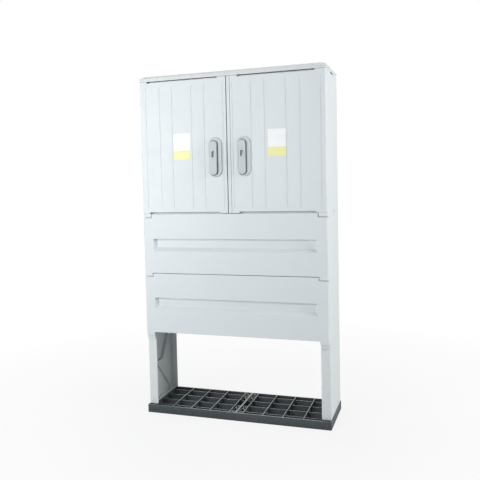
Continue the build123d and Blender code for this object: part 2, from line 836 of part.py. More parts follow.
def euro_profile(x, grow=0.0, mode=Mode.ADD):
    """The keyhole-shaped section of the lock cylinder, in the open sketch."""
    tail_r = cylinder_tail / 2 + grow
    tail_centre = cylinder_z + cylinder_r - cylinder_height + cylinder_tail / 2
    with Locations((x, cylinder_z)):
        Circle(cylinder_r + grow, mode=mode)
    with Locations((x, tail_centre)):
        Circle(tail_r, mode=mode)
    area(x - tail_r, x + tail_r, tail_centre, cylinder_z, mode)


def lever_outline(x, grow=0.0, mode=Mode.ADD):
    """The lever's outline, grown all round, in the open sketch."""
    with Locations((x, (lever_low + lever_top) / 2)):
        SlotOverall(lever_length + 2 * grow, lever_width + 2 * grow, rotation=90, mode=mode)


def handle_plate(side):
    """The oval plate, with a channel round the lever and a boss that stands in the door."""
    middle = side * handle_x
    x = spindle_x(side)
    depth_in_door = handle_proud + handle_boss_depth
    with BuildPart() as plate:
        with BuildSketch(at_depth(front)):
            with Locations((middle, handle_z)):
                SlotOverall(handle_height, handle_width, rotation=90)
        extrude(amount=handle_proud)
        fillet(plate.faces().sort_by(Axis.Y)[0].edges(), handle_round)
        with BuildSketch(at_depth(plate_face)):
            lever_outline(x, channel)
            lever_outline(x, -channel_under, Mode.SUBTRACT)
        extrude(amount=-channel_depth, mode=Mode.SUBTRACT)
        with BuildSketch(at_depth(front)):
            with Locations((middle, handle_z)):
                SlotOverall(handle_boss_height, handle_boss_width, rotation=90)
        extrude(amount=-handle_boss_depth)
        with BuildSketch(at_depth(plate_face)):
            euro_profile(x, cylinder_gap)
            with Locations((x, spindle_z)):
                Circle(spindle_r + spindle_run)
        extrude(amount=-depth_in_door, mode=Mode.SUBTRACT)
        with BuildSketch(at_depth(plate_face)):
            with Locations((x, spindle_z)):
                Circle(hub_r + seat_gap)
        extrude(amount=-(hub_height + hub_gap), mode=Mode.SUBTRACT)
    return plate.part


def handle_hub(side):
    """The disc under the lever, its round spindle with a square end, and the lever's tab."""
    x = spindle_x(side)
    hub_back = plate_face + hub_height
    with BuildPart() as hub:
        with BuildSketch(at_depth(hub_back)):
            with Locations((x, spindle_z)):
                Circle(hub_r)
        extrude(amount=hub_height)
        with BuildSketch(at_depth(hub_back)):
            with Locations((x, spindle_z)):
                Circle(spindle_r)
        extrude(amount=-(drive_front - hub_back))
        with BuildSketch(at_depth(drive_front)):
            with Locations((x, spindle_z)):
                Rectangle(square, square)
        extrude(amount=-drive_width)
        with BuildSketch(Plane.YZ.offset(x - tab_half)):
            area(lever_pin_y, plate_face + hub_height / 2, lever_pin_z - tab_r, lever_pin_z + tab_foot)
            with Locations((lever_pin_y, lever_pin_z)):
                Circle(tab_r)
                Circle(lever_pin_r, mode=Mode.SUBTRACT)
        extrude(amount=2 * tab_half)
    return hub.part


def lever_pin(side):
    """The pin that the lever tilts on."""
    with BuildPart() as pin:
        with BuildSketch(Plane.YZ.offset(spindle_x(side) - lever_pin_half)):
            with Locations((lever_pin_y, lever_pin_z)):
                Circle(lever_pin_r)
        extrude(amount=2 * lever_pin_half)
    return pin.part


def lever(side):
    """The swing lever: round about its pin at the top, with a window over the lock."""
    x = spindle_x(side)
    edge = Plane.YZ.offset(x - lever_width / 2)
    with BuildPart() as swing:
        with BuildSketch(edge):
            area(lever_front, lever_back, lever_low, lever_pin_z)
            with Locations((lever_pin_y, lever_pin_z)):
                Circle(lever_thickness / 2)
        extrude(amount=lever_width)
        with BuildSketch(at_depth(lever_front)):
            lever_outline(x)
        extrude(amount=-lever_thickness, mode=Mode.INTERSECT)
        with BuildSketch(at_depth(lever_front)):
            with Locations((x, cylinder_z)):
                SlotOverall(dish_length, dish_width, rotation=90)
        extrude(amount=-dish_depth, mode=Mode.SUBTRACT)
        with BuildSketch(at_depth(lever_front)):
            with Locations((x, cylinder_z)):
                SlotOverall(window_height, window_width, rotation=90)
        extrude(amount=-lever_thickness, mode=Mode.SUBTRACT)
        with BuildSketch(Plane.YZ.offset(x - tab_half - tab_gap)):
            area(lever_pin_y - tab_swing, lever_back, lever_pin_z - tab_r - tab_gap, lever_top)
            with Locations((lever_pin_y, lever_pin_z)):
                Circle(tab_r + tab_gap)
        extrude(amount=2 * (tab_half + tab_gap), mode=Mode.SUBTRACT)
        with BuildSketch(edge):
            with Locations((lever_pin_y, lever_pin_z)):
                Circle(lever_pin_r + pin_run)
        extrude(amount=lever_width, mode=Mode.SUBTRACT)
    return swing.part


def lock_cylinder(side):
    """The lock's keyhole-shaped housing, which goes through plate and door."""
    x = spindle_x(side)
    with BuildPart() as cylinder:
        with BuildSketch(at_depth(plate_face)):
            euro_profile(x)
            with Locations((x, cylinder_z)):
                Circle(plug_r + pin_run, mode=Mode.SUBTRACT)
        extrude(amount=-cylinder_length)
    return cylinder.part


def lock_plug(side):
    """The plug that a key turns, with its cam at the back."""
    x = spindle_x(side)
    with BuildPart() as plug:
        with BuildSketch(at_depth(plate_face - plug_proud)):
            with Locations((x, cylinder_z)):
                Circle(plug_r)
        extrude(amount=-(cylinder_length + plug_proud + cam_gap))
        with BuildSketch(at_depth(cylinder_back + cam_gap)):
            with Locations((x, cylinder_z)):
                Circle(plug_r)
            area(x - cam_width / 2, x + cam_width / 2, cylinder_z - cam_reach, cylinder_z)
        extrude(amount=-cam_sheet)
        with BuildSketch(at_depth(plate_face - plug_proud)):
            area(x - key_width / 2, x + key_width / 2,
                 cylinder_z - key_height / 2, cylinder_z + key_height / 2)
        extrude(amount=-key_depth, mode=Mode.SUBTRACT)
    return plug.part


# Pinion: involute teeth, each flank an arc through three points of its involute
base_r = pitch_r * math.cos(math.radians(pressure))
tip_r = pitch_r + addendum_share * module_size
root_r = pitch_r - dedendum_share * module_size
half_tooth = (tooth_pitch / 2 - backlash / 2) / 2 / pitch_r
flank_radii = (base_r, (base_r + tip_r) / 2, tip_r)


def roll_angle(radius):
    """How far the involute has turned from its start on the base circle to a radius."""
    lean = math.sqrt((radius / base_r) ** 2 - 1)
    return lean - math.atan(lean)


def flank_point(centre, radius, flank, turn):
    """A point of one flank of the tooth that stands at the angle turn."""
    angle = turn + flank * (half_tooth + roll_angle(pitch_r) - roll_angle(max(radius, base_r)))
    return (centre + radius * math.cos(angle), spindle_z + radius * math.sin(angle))


def drive_pinion(side):
    """The pinion on the spindle's square end."""
    x = spindle_x(side)
    with BuildPart() as pinion:
        with BuildSketch(at_depth(drive_front)):
            with Locations((x, spindle_z)):
                Circle(root_r)
            for n in range(teeth):
                turn = n * 2 * math.pi / teeth
                lower = [flank_point(x, r, -1, turn) for r in flank_radii]
                upper = [flank_point(x, r, 1, turn) for r in reversed(flank_radii)]
                foot = [flank_point(x, root_sink * root_r, flank, turn) for flank in (1, -1)]
                with BuildLine():
                    Line(foot[1], lower[0])
                    ThreePointArc(*lower)
                    Line(lower[-1], upper[0])
                    ThreePointArc(*upper)
                    Line(upper[-1], foot[0])
                    Line(foot[0], foot[1])
                make_face()
            with Locations((x, spindle_z)):
                Rectangle(square, square, mode=Mode.SUBTRACT)
        extrude(amount=-drive_width)
    return pinion.part


# Rods: a flat bar with rack teeth where it passes the pinion
def rod(centre, rack_side, travel, end_z):
    """A lock rod; travel is how its rack moves, up or down, to unlock."""
    face = centre + rack_side * rack_root
    outer = centre + rack_side * rack_back
    tip = centre + rack_side * (pitch_r - addendum_share * module_size)
    pitch_line = centre + rack_side * pitch_r
    mesh = 1.5 * tooth_pitch
    rack_low = min(spindle_z - mesh, spindle_z - travel - mesh)
    rack_high = max(spindle_z + mesh, spindle_z - travel + mesh)
    lean = math.tan(math.radians(pressure))
    half_width = (tooth_pitch / 2 - backlash / 2) / 2
    root_half = half_width + abs(face - pitch_line) * lean
    tip_half = half_width - abs(tip - pitch_line) * lean
    count = int((rack_high - rack_low) / tooth_pitch) + 2
    with BuildPart() as bar:
        with BuildSketch(at_depth(drive_front)):
            area(min(face, outer), max(face, outer), min(end_z, rack_low), max(end_z, rack_high))
            for n in range(-count, count):
                z = spindle_z + (n + 0.5) * tooth_pitch
                if rack_low + half_width + rack_land < z < rack_high - half_width - rack_land:
                    Polygon((face, z - root_half), (tip, z - tip_half), (tip, z + tip_half),
                            (face, z + root_half))
        extrude(amount=-drive_width)
    return bar.part


def upper_rod(side):
    """The rod that locks the door at the top: it goes down to unlock."""
    return rod(spindle_x(side), -side, -stroke, lip_low - rod_tip_gap)


def lower_rod(side):
    """The rod that locks the door at the bottom: it goes up to unlock."""
    return rod(spindle_x(side), side, stroke, floor_lip_top + rod_tip_gap)


def gear_case(side):
    """The case that carries the pinion and both racks on the door's inner side."""
    x = spindle_x(side)
    case_front = front + skin
    case_inner = drive_front - rod_gap
    with BuildPart() as case:
        with BuildSketch(at_depth(case_front)):
            with Locations((x, spindle_z)):
                Rectangle(2 * case_half_width, 2 * case_half_height)
        extrude(amount=-(drive_back + rod_gap - case_front))
        with BuildSketch(at_depth(case_front)):
            with Locations((side * handle_x, handle_z)):
                SlotOverall(handle_boss_height + 4 * seat_gap, handle_boss_width + 4 * seat_gap, rotation=90)
        extrude(amount=-(handle_boss_depth - skin + seat_gap), mode=Mode.SUBTRACT)
        with BuildSketch(at_depth(case_inner)):
            with Locations((x, spindle_z)):
                Circle(tip_r + 2 * rod_gap)
            for rack_side in (-1, 1):
                inner = x + rack_side * (pitch_r - module_size)
                outer = x + rack_side * (rack_back + rod_gap)
                area(min(inner, outer), max(inner, outer),
                     spindle_z - case_half_height, spindle_z + case_half_height)
        extrude(amount=-(drive_width + 2 * rod_gap), mode=Mode.SUBTRACT)
        with BuildSketch(at_depth(case_front)):
            with Locations((x, spindle_z)):
                Circle(spindle_r + case_gap)
        extrude(amount=-(case_inner - case_front), mode=Mode.SUBTRACT)
    return case.part


def gear_cover(side):
    """The sheet that closes the gear case."""
    with BuildPart() as lid:
        with BuildSketch(at_depth(drive_back + rod_gap)):
            with Locations((spindle_x(side), spindle_z)):
                Rectangle(2 * case_half_width, 2 * case_half_height)
        extrude(amount=-case_cover)
    return lid.part


def rod_guides(side):
    """Two guides on the door's inner side, near the rods' ends."""
    half_slot = rod_bar / 2 + rod_gap
    with BuildPart() as guides:
        for rack_side, level in ((-side, door_high - guide_inset - guide_height),
                                 (side, door_low + guide_inset)):
            centre = spindle_x(side) + rack_side * (rack_root + rack_back) / 2
            with BuildSketch(at_depth(front + skin)):
                area(centre - rod_bar / 2 - guide_wall, centre + rod_bar / 2 + guide_wall,
                     level, level + guide_height)
            extrude(amount=-(drive_back + guide_wall - front - skin))
            with BuildSketch(at_depth(drive_front - rod_gap)):
                area(centre - half_slot, centre + half_slot, level, level + guide_height)
            extrude(amount=-(drive_width + 2 * rod_gap), mode=Mode.SUBTRACT)
    return guides.part


handle_pieces = (
    handle_plate, handle_hub, lever_pin, lever, lock_cylinder, lock_plug,
    drive_pinion, upper_rod, lower_rod, gear_case, gear_cover, rod_guides,
)
for make_piece in handle_pieces:
    keep(make_piece(-1), f"left_{make_piece.__name__}")
    keep(make_piece(1), f"right_{make_piece.__name__}")
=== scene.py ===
"""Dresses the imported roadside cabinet: finishes, small fittings, floor, lights and camera."""
import json
import math

import bmesh
import bpy
from mathutils import Matrix, Vector


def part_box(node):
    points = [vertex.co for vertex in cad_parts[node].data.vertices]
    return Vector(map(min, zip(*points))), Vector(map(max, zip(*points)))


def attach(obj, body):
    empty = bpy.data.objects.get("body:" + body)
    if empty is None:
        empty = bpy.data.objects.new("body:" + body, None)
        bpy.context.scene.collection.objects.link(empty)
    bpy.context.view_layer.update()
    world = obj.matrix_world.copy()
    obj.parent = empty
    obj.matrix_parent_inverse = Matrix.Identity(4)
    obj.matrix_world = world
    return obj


bl_info = {
    "name": "Roadside Cabinet",
    "version": (1, 0, 0),
    "blender": (4, 5, 0),
    "location": "View3D > Sidebar > Cabinet",
    "description": "Finishes, small fittings and a studio for a two-door roadside cabinet",
    "category": "Object",
}

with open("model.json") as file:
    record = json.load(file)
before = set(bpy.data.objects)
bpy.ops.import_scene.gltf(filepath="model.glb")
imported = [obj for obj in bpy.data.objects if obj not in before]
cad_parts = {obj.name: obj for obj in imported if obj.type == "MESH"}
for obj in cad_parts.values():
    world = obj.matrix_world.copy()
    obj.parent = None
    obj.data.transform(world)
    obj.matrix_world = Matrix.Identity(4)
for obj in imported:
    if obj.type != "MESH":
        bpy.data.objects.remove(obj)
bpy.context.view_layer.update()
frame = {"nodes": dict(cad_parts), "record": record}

WHITE = (1.0, 1.0, 1.0, 1.0)
SIDES = {"left": -1, "right": 1}  # where each side lies from the middle, along x


def colour(red, green, blue):
    """A screen colour, from 0 to 255, as the linear colour that shaders take."""
    def linear(value):
        value /= 255
        return value / 12.92 if value <= 0.04045 else ((value + 0.055) / 1.055) ** 2.4
    return (linear(red), linear(green), linear(blue), 1.0)


# Shader building

def seen_rays(tree):
    """1 for rays that show the stage (camera, glossy, transmission), and 0 for light on the cabinet."""
    rays = tree.nodes.new("ShaderNodeLightPath")
    seen = rays.outputs["Is Camera Ray"]
    for kind in ("Is Glossy Ray", "Is Transmission Ray"):
        larger = tree.nodes.new("ShaderNodeMath")
        larger.operation = "MAXIMUM"
        tree.links.new(seen, larger.inputs[0])
        tree.links.new(rays.outputs[kind], larger.inputs[1])
        seen = larger.outputs[0]
    return seen


class Finish:
    """A material with one Principled shader, and short calls to wire its pattern."""

    def __init__(self, name, metallic=0.0):
        self.material = bpy.data.materials.new(name)
        self.material.use_nodes = True
        self.tree = self.material.node_tree
        self.shader = self.tree.nodes["Principled BSDF"]
        self.shader.inputs["Metallic"].default_value = metallic
        self.shader.inputs["IOR"].default_value = 1.5
        self.place = self.add("ShaderNodeTexCoord").outputs["Object"]

    def add(self, kind, **inputs):
        """A new node with its inputs set or linked. An underscore stands for a space in an input's name."""
        node = self.tree.nodes.new(kind)
        for name, value in inputs.items():
            self.put(value, node.inputs[name.replace("_", " ")])
        return node

    def put(self, value, socket):
        """Links another node's output to a socket, or writes a constant on it."""
        if isinstance(value, bpy.types.NodeSocket):
            self.tree.links.new(value, socket)
        else:
            socket.default_value = value

    def stretch(self, x, y, z):
        """Object coordinates, scaled for each axis by itself."""
        return self.add("ShaderNodeMapping", Vector=self.place, Scale=(x, y, z)).outputs["Vector"]

    def noise(self, scale, detail=2.0, place=None, roughness=0.5):
        node = self.add("ShaderNodeTexNoise", Vector=place or self.place, Scale=scale, Detail=detail,
                        Roughness=roughness)
        return node.outputs["Fac"]

    def span(self, value, low, high, to_low, to_high):
        """Maps a value from one span to another, and stops at its ends."""
        node = self.add("ShaderNodeMapRange", Value=value)
        node.inputs["From Min"].default_value = low
        node.inputs["From Max"].default_value = high
        node.inputs["To Min"].default_value = to_low
        node.inputs["To Max"].default_value = to_high
        return node.outputs["Result"]

    def mix(self, share, first, second):
        """A colour between two, with the second one's share."""
        node = self.tree.nodes.new("ShaderNodeMix")
        node.data_type = "RGBA"
        self.put(share, node.inputs[0])
        self.put(first, node.inputs[6])
        self.put(second, node.inputs[7])
        return node.outputs[2]

    def math(self, operation, first, second):
        node = self.tree.nodes.new("ShaderNodeMath")
        node.operation = operation
        self.put(first, node.inputs[0])
        self.put(second, node.inputs[1])
        return node.outputs[0]

    def corner_shade(self, distance):
        """How much a point lies in a groove or corner, from 0 to 1, by ambient occlusion: the mask for
        painted shade.
        """
        node = self.add("ShaderNodeAmbientOcclusion", Distance=distance)
        node.samples = 8
        return self.span(node.outputs["AO"], 0.35, 0.95, 1.0, 0.0)

    def rounded(self, radius):
        """A normal that is smoothed over sharp edges, as on a moulding."""
        node = self.add("ShaderNodeBevel", Radius=radius)
        node.samples = 6
        return node.outputs["Normal"]

    def bump(self, height, distance, strength, normal=None):
        node = self.add("ShaderNodeBump", Height=height, Distance=distance, Strength=strength)
        if normal is not None:
            self.tree.links.new(normal, node.inputs["Normal"])
        return node.outputs["Normal"]

    def wire(self, base, roughness, normal):
        """Wires the pattern to the shader and returns the finished material."""
        for name, value in (("Base Color", base), ("Roughness", roughness), ("Normal", normal)):
            self.put(value, self.shader.inputs[name])
        return self.material


def deeper(shade, factor):
    """The same hue, darker below a factor of 1 and lighter above it."""
    return tuple(channel * factor for channel in shade[:3]) + (1.0,)


def moulded_plastic(name, shade, roughness, edge=0.0008, painted_shade=0.25, reach=0.012):
    """Hot-pressed plastic: faint flow marks, a fine grain and painted shade in its corners.

    edge rounds the sharp edges, the argument after it is the strength of the painted corner shade, and reach
    how far that shade lies from a corner.
    """
    finish = Finish(name)
    cloud = finish.span(finish.noise(2.2, 3.0, finish.stretch(1.0, 1.0, 0.55)), 0.3, 0.7, 0.0, 1.0)
    tone = finish.mix(cloud, deeper(shade, 0.965), deeper(shade, 1.02))
    speck = finish.span(finish.noise(420.0, 2.0), 0.55, 0.75, 0.0, 0.05)
    tone = finish.mix(speck, tone, deeper(shade, 0.7))
    # Painted shade: grooves and corners are darkened towards a deeper tone by ambient occlusion.
    corner = finish.math("MULTIPLY", finish.corner_shade(reach), painted_shade)
    tone = finish.mix(corner, tone, deeper(shade, 0.42))
    sheen = finish.span(finish.noise(38.0, 4.0), 0.3, 0.7, roughness - 0.05, roughness + 0.06)
    grain = finish.noise(1500.0, 2.0, roughness=0.6)
    normal = finish.bump(grain, 0.00006, 0.35, finish.rounded(edge))
    return finish.wire(tone, sheen, normal)


def recycled_plastic(name, shade, pale_tone, top):
    """Dark pressed plastic with pale flecks, flow marks, painted shade in its cells, and pale dust with a
    painted highlight on the faces that look up near its top.
    """
    finish = Finish(name)
    top_band_from, top_band_full = top - 0.010, top - 0.001
    cell_depth = 0.045
    flow = finish.span(finish.noise(9.0, 5.0, finish.stretch(0.5, 1.0, 2.0)), 0.3, 0.75, 0.0, 1.0)
    tone = finish.mix(flow, shade, deeper(shade, 1.7))
    fleck = finish.span(finish.noise(240.0, 1.0), 0.66, 0.74, 0.0, 0.5)
    tone = finish.mix(fleck, tone, pale_tone)
    height = finish.add("ShaderNodeSeparateXYZ", Vector=finish.place).outputs["Z"]
    outward = finish.add("ShaderNodeNewGeometry").outputs["True Normal"]
    upright = finish.add("ShaderNodeSeparateXYZ", Vector=outward).outputs["Z"]
    # Pale dust on the upward faces near the top, which also stands as a painted highlight on them.
    upper = finish.math("MULTIPLY", finish.span(height, top_band_from, top_band_full, 0.3, 1.0),
                        finish.span(upright, 0.7, 0.95, 0.0, 1.0))
    top_dust_and_highlight = finish.math("MULTIPLY", upper, finish.span(finish.noise(60.0, 3.0), 0.2, 0.6, 0.6, 1.0))
    tone = finish.mix(finish.math("MULTIPLY", top_dust_and_highlight, 0.8), tone, pale_tone)
    # Painted shade: the deep cells of the grid are darkened by ambient occlusion.
    cell_shade = finish.math("MULTIPLY", finish.corner_shade(cell_depth), 0.75)
    tone = finish.mix(cell_shade, tone, deeper(shade, 0.35))
    sheen = finish.span(finish.noise(90.0, 3.0), 0.3, 0.7, 0.5, 0.72)
    normal = finish.bump(finish.noise(700.0, 3.0), 0.0001, 0.5, finish.rounded(0.0009))
    return finish.wire(tone, sheen, normal)


def zinc_plate(name, shade):
    """Zinc-coated sheet with its spangle and a faint rolling direction."""
    finish = Finish(name, metallic=1.0)
    cell = finish.add("ShaderNodeTexVoronoi", Vector=finish.place, Scale=140.0)
    spangle = finish.span(cell.outputs["Distance"], 0.0, 0.8, 0.0, 1.0)
    tone = finish.mix(spangle, deeper(shade, 0.86), deeper(shade, 1.05))
    streak = finish.noise(60.0, 3.0, finish.stretch(0.15, 1.0, 6.0))
    tone = finish.mix(finish.span(streak, 0.4, 0.7, 0.0, 0.3), tone, deeper(shade, 0.8))
    sheen = finish.span(spangle, 0.0, 1.0, 0.34, 0.48)
    normal = finish.bump(streak, 0.00005, 0.3, finish.rounded(0.0004))
    return finish.wire(tone, sheen, normal)


def turned_steel(name, shade):
    """Bolts, nuts and pins: satin, with fine turning marks."""
    finish = Finish(name, metallic=1.0)
    tone = finish.mix(finish.noise(120.0, 3.0), deeper(shade, 0.85), deeper(shade, 1.05))
    rings = finish.noise(900.0, 2.0, finish.stretch(1.0, 1.0, 0.2))
    sheen = finish.span(rings, 0.3, 0.7, 0.24, 0.4)
    normal = finish.bump(rings, 0.00004, 0.3, finish.rounded(0.0003))
    return finish.wire(tone, sheen, normal)


def nickel(name, shade):
    """The lock's plated brass, with wear where a key goes in."""
    finish = Finish(name, metallic=1.0)
    wear = finish.span(finish.noise(300.0, 4.0), 0.5, 0.75, 0.0, 0.4)
    tone = finish.mix(wear, shade, deeper(shade, 0.6))
    brushed = finish.noise(700.0, 2.0, finish.stretch(1.0, 1.0, 0.1))
    sheen = finish.span(brushed, 0.3, 0.7, 0.42, 0.58)
    normal = finish.bump(brushed, 0.00003, 0.3, finish.rounded(0.0003))
    return finish.wire(tone, sheen, normal)


def seal_rubber(name, shade):
    """Foamed seal strip: dull, with a skin of fine pores."""
    finish = Finish(name)
    pores = finish.add("ShaderNodeTexVoronoi", Vector=finish.place, Scale=1800.0).outputs["Distance"]
    tone = finish.mix(finish.noise(80.0, 3.0), shade, deeper(shade, 1.6))
    sheen = finish.span(pores, 0.0, 0.6, 0.9, 0.75)
    return finish.wire(tone, sheen, finish.bump(pores, 0.0001, 0.4))


def two_tone_film(name, upper, lower, border):
    """A plain adhesive film, one tone above a level and another below it."""
    finish = Finish(name)
    blur = 0.0002
    height = finish.add("ShaderNodeSeparateXYZ", Vector=finish.place).outputs["Z"]
    share = finish.span(height, border - blur, border + blur, 0.0, 1.0)
    tone = finish.mix(share, lower, upper)
    tone = finish.mix(finish.span(finish.noise(30.0, 3.0), 0.35, 0.8, 0.0, 0.08), tone, deeper(lower, 0.6))
    sheen = finish.span(finish.noise(50.0, 3.0), 0.3, 0.7, 0.28, 0.4)
    return finish.wire(tone, sheen, finish.bump(finish.noise(400.0, 2.0), 0.00005, 0.3))


def studio_floor(name, shade):
    """Pale paper. A camera ray sees it lighter, and white far from the cabinet, with the shadow kept."""
    finish = Finish(name)
    near, distant = 0.5, 1.9
    near_glow, full_glow = 0.86, 1.0
    tone = finish.mix(finish.noise(1.5, 3.0), deeper(shade, 0.985), shade)
    material = finish.wire(tone, finish.span(finish.noise(60.0, 3.0), 0.3, 0.7, 0.85, 0.95),
                           finish.bump(finish.noise(300.0, 3.0), 0.0002, 0.1))
    glow = finish.add("ShaderNodeEmission", Color=WHITE, Strength=1.0)
    away = finish.add("ShaderNodeVectorMath", Vector=finish.place)
    away.operation = "LENGTH"
    share = finish.math("MULTIPLY", seen_rays(finish.tree),
                        finish.span(away.outputs["Value"], near, distant, near_glow, full_glow))
    both = finish.add("ShaderNodeMixShader", Fac=share)
    finish.tree.links.new(finish.shader.outputs[0], both.inputs[1])
    finish.tree.links.new(glow.outputs[0], both.inputs[2])
    output = finish.tree.nodes["Material Output"]
    finish.tree.links.new(both.outputs[0], output.inputs["Surface"])
    return material


# Shapes

def cuboid(bm, low, high):
    """A box between two corners, added to an open bmesh."""
    low, high = Vector(low), Vector(high)
    made = bmesh.ops.create_cube(bm, size=1.0)["verts"]
    bmesh.ops.scale(bm, vec=high - low, verts=made)
    bmesh.ops.translate(bm, vec=(low + high) / 2, verts=made)


def round_edges(bm, edges, width, segments=3):
    """Rounds edges of an open bmesh."""
    bmesh.ops.bevel(bm, geom=list(edges), offset=width, offset_type="OFFSET", segments=segments,
                    profile=0.5, affect="EDGES", material=-1, clamp_overlap=True)


def screw_head(bm, place, facing, radius, height):
    """A low round screw head with a socket, which stands on a face and looks along facing."""
    rounding, socket_wall, socket_depth = height * 0.5, radius * 0.35, height * 0.6
    before = set(bm.verts)
    bmesh.ops.create_circle(bm, cap_ends=True, radius=radius, segments=16)
    disc = [face for face in bm.faces if all(vert not in before for vert in face.verts)]
    raised = bmesh.ops.extrude_face_region(bm, geom=disc)["geom"]
    top = [part for part in raised if isinstance(part, bmesh.types.BMVert)]
    bmesh.ops.translate(bm, vec=(0, 0, height), verts=top)
    crown = [part for part in raised if isinstance(part, bmesh.types.BMFace)]
    round_edges(bm, crown[0].edges, rounding, 2)
    crown = max((face for face in bm.faces if all(vert not in before for vert in face.verts)),
                key=lambda face: face.calc_center_median().z)
    bmesh.ops.inset_region(bm, faces=[crown], thickness=socket_wall)
    socket = bmesh.ops.extrude_face_region(bm, geom=[crown])["geom"]
    bmesh.ops.delete(bm, geom=[crown], context="FACES_ONLY")
    sunk = [part for part in socket if isinstance(part, bmesh.types.BMVert)]
    bmesh.ops.translate(bm, vec=(0, 0, -socket_depth), verts=sunk)
    made = [vert for vert in bm.verts if vert not in before]
    turn = Vector((0, 0, 1)).rotation_difference(Vector(facing)).to_matrix()
    bmesh.ops.rotate(bm, cent=(0, 0, 0), matrix=turn, verts=made)
    bmesh.ops.translate(bm, vec=place, verts=made)


def piece(name, bm, body, material):
    """Turns a finished bmesh into a piece that rides on a body."""
    bmesh.ops.recalc_face_normals(bm, faces=bm.faces)
    mesh = bpy.data.meshes.new(name)
    bm.to_mesh(mesh)
    bm.free()
    mesh.materials.append(material)
    made = bpy.data.objects.new(name, mesh)
    bpy.context.scene.collection.objects.link(made)
    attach(made, body)
    return made


def smooth(made, angle=35.0):
    """Smooth shading between faces that meet at less than an angle."""
    for face in made.data.polygons:
        face.use_smooth = True
    made.data.set_sharp_from_angle(angle=math.radians(angle))


def dress(material, nodes):
    """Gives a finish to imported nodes."""
    for name in nodes:
        mesh = frame["nodes"][name].data
        mesh.materials.clear()
        mesh.materials.append(material)


def both_sides(*names):
    """The names of nodes that each side has one of."""
    return [f"{side}_{name}" for side in SIDES for name in names]


def nodes_in_slot(slot):
    """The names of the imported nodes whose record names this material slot."""
    return [item["node"] for item in frame["record"]["subparts"] if item["material_slot"] == slot]


# Settings

class CabinetColours(bpy.types.PropertyGroup):
    """The colours that a user would change."""
    shell: bpy.props.FloatVectorProperty(
        name="Shell", description="Walls, back, floor and roof", subtype="COLOR", size=4, min=0, max=1,
        default=colour(222, 228, 229))
    front: bpy.props.FloatVectorProperty(
        name="Front", description="Doors and covers", subtype="COLOR", size=4, min=0, max=1,
        default=colour(221, 228, 231))
    handle: bpy.props.FloatVectorProperty(
        name="Handles", description="Handle plates and levers", subtype="COLOR", size=4, min=0, max=1,
        default=colour(194, 203, 206))
    base: bpy.props.FloatVectorProperty(
        name="Base", description="The ribbed base", subtype="COLOR", size=4, min=0, max=1,
        default=colour(50, 58, 61))
    # The pale colour of the base's flecks and of its upper edges, where it is dust and a painted highlight.
    dust: bpy.props.FloatVectorProperty(
        name="Dust", description="Dust on the base's upper edges", subtype="COLOR", size=4, min=0, max=1,
        default=colour(150, 158, 160))
    inner: bpy.props.FloatVectorProperty(
        name="Black parts", description="Gear cases and rod guides", subtype="COLOR", size=4, min=0, max=1,
        default=colour(44, 45, 47))
    film_upper: bpy.props.FloatVectorProperty(
        name="Film, upper", description="Upper part of the plain film on each door", subtype="COLOR", size=4,
        min=0, max=1, default=colour(246, 247, 250))
    film_lower: bpy.props.FloatVectorProperty(
        name="Film, lower", description="Lower part of the plain film on each door", subtype="COLOR", size=4,
        min=0, max=1, default=colour(238, 238, 166))


class CabinetSizes(bpy.types.PropertyGroup):
    """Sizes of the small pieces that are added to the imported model."""
    film_width: bpy.props.FloatProperty(
        name="Film width", description="Width of the plain film on each door", default=0.074, unit="LENGTH")
    film_height: bpy.props.FloatProperty(
        name="Film height", description="Height of the plain film on each door", default=0.108,
        unit="LENGTH")
    film_middle: bpy.props.FloatProperty(
        name="Film level", description="Height of the film's middle above the ground", default=1.149,
        unit="LENGTH")
    film_band: bpy.props.FloatProperty(
        name="Film band", description="Height of the film's lower tone", default=0.037, unit="LENGTH")
    seal_width: bpy.props.FloatProperty(
        name="Seal width", description="Width of the seal strip on each door's rim", default=0.0032,
        unit="LENGTH")
    seal_height: bpy.props.FloatProperty(
        name="Seal height", description="How far the seal strip stands out", default=0.0008, unit="LENGTH")


class CabinetStage(bpy.types.PropertyGroup):
    """Camera and lights."""
    eye: bpy.props.FloatVectorProperty(
        name="Camera", description="Where the camera stands", subtype="TRANSLATION", size=3,
        default=(0.8029, -2.4680, 0.9705))
    turn: bpy.props.FloatVectorProperty(
        name="Turn", description="The camera's turn to the left, upwards and about its own line",
        subtype="EULER", size=3,
        default=(math.radians(18.080), math.radians(-3.339), math.radians(-1.250)))
    lens: bpy.props.FloatProperty(
        name="Focal length", description="For a sensor 36 mm wide", default=45.32, unit="CAMERA")
    shift: bpy.props.FloatProperty(
        name="Shift", description="Vertical shift of the view", default=-0.0347)
    sky: bpy.props.FloatProperty(
        name="Sky", description="Strength of the even light", default=0.06, min=0)
    left: bpy.props.FloatProperty(
        name="Left light", description="Power of the light at the front left", default=24.5, unit="POWER")
    front: bpy.props.FloatProperty(
        name="Front light", description="Power of the high light in front", default=17.5, unit="POWER")
    side: bpy.props.FloatProperty(
        name="Side light", description="Power of the light at the right", default=70.0, unit="POWER")
    back: bpy.props.FloatProperty(
        name="Back light", description="Power of the soft light behind", default=44.0, unit="POWER")
    far: bpy.props.FloatProperty(
        name="Far side light", description="Power of the light at the left", default=26.0, unit="POWER")
    top: bpy.props.FloatProperty(
        name="Top light", description="Power of the light above", default=18.0, unit="POWER")


# Operators

